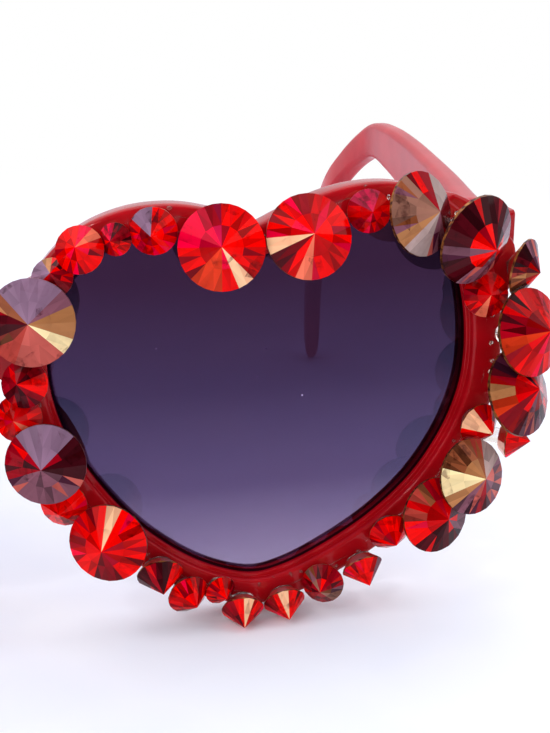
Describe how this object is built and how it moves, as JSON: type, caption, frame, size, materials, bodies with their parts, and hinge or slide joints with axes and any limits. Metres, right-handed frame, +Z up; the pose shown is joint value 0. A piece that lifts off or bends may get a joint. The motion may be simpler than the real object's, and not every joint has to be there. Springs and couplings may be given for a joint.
{
  "type": "heart shaped sunglasses",
  "caption": "Heart shaped plastic sunglasses with tinted lenses, faceted crystals glued round the rims, and arms that fold on barrel hinges.",
  "frame": {"origin": "middle of the open sunglasses at table height: midway between the two halves, and midway from the front's foremost crystal to the arms' tips", "axes": "+X to the wearer's left, +Y back along the arms, +Z up"},
  "size_m": [0.166, 0.133, 0.0655],
  "materials": {
    "front_plastic": "polished translucent red plastic",
    "lens_tint": "gradient tinted plastic lens, darker at the top",
    "arm_plastic": "polished red plastic with a pink sheen",
    "hinge_steel": "nickel plated",
    "screw_steel": "bright",
    "clear_adhesive": "cured clear glue",
    "crystal_red": "foil backed faceted lead crystal"
  },
  "bodies": {
    "front": {"frame_front": "front_plastic", "lens_left": "lens_tint", "lens_right": "lens_tint", "hinge_front_leaf_left": "hinge_steel", "hinge_front_leaf_right": "hinge_steel", "hinge_screw_left": "screw_steel", "hinge_screw_right": "screw_steel", "adhesive_left": "clear_adhesive", "adhesive_right": "clear_adhesive", "crystal_left_bridge": "crystal_red", "crystal_left_inner_lobe": "crystal_red", "crystal_left_outer_lobe": "crystal_red", "crystal_left_shoulder": "crystal_red", "crystal_left_corner": "crystal_red", "crystal_left_endpiece": "crystal_red", "crystal_left_side_upper": "crystal_red", "crystal_left_side_lower": "crystal_red", "crystal_left_lower_outer": "crystal_red", "crystal_left_lower_middle": "crystal_red", "crystal_left_lower_inner": "crystal_red", "crystal_left_nose": "crystal_red", "crystals_left_top_small": "crystal_red", "crystals_left_side_small": "crystal_red", "crystals_left_bottom_small": "crystal_red", "crystals_left_nose_small": "crystal_red", "crystal_right_bridge": "crystal_red", "crystal_right_inner_lobe": "crystal_red", "crystal_right_outer_lobe": "crystal_red", "crystal_right_shoulder": "crystal_red", "crystal_right_corner": "crystal_red", "crystal_right_endpiece": "crystal_red", "crystal_right_side_upper": "crystal_red", "crystal_right_side_lower": "crystal_red", "crystal_right_lower_outer": "crystal_red", "crystal_right_lower_middle": "crystal_red", "crystal_right_lower_inner": "crystal_red", "crystal_right_nose": "crystal_red", "crystals_right_top_small": "crystal_red", "crystals_right_side_small": "crystal_red", "crystals_right_bottom_small": "crystal_red", "crystals_right_nose_small": "crystal_red"},
    "arm_left": {"arm_left": "arm_plastic", "hinge_arm_leaf_left": "hinge_steel"},
    "arm_right": {"arm_right": "arm_plastic", "hinge_arm_leaf_right": "hinge_steel"}
  },
  "joints": [
    {"name": "fold_left", "type": "hinge", "parent": "front", "child": "arm_left", "pos_m": [0.0677, -0.03297, 0.05171], "axis": [0, 0, 1], "range_deg": [0, 90]},
    {"name": "fold_right", "type": "hinge", "parent": "front", "child": "arm_right", "pos_m": [-0.0677, -0.03297, 0.05171], "axis": [0, 0, -1], "range_deg": [0, 80]}
  ]
}
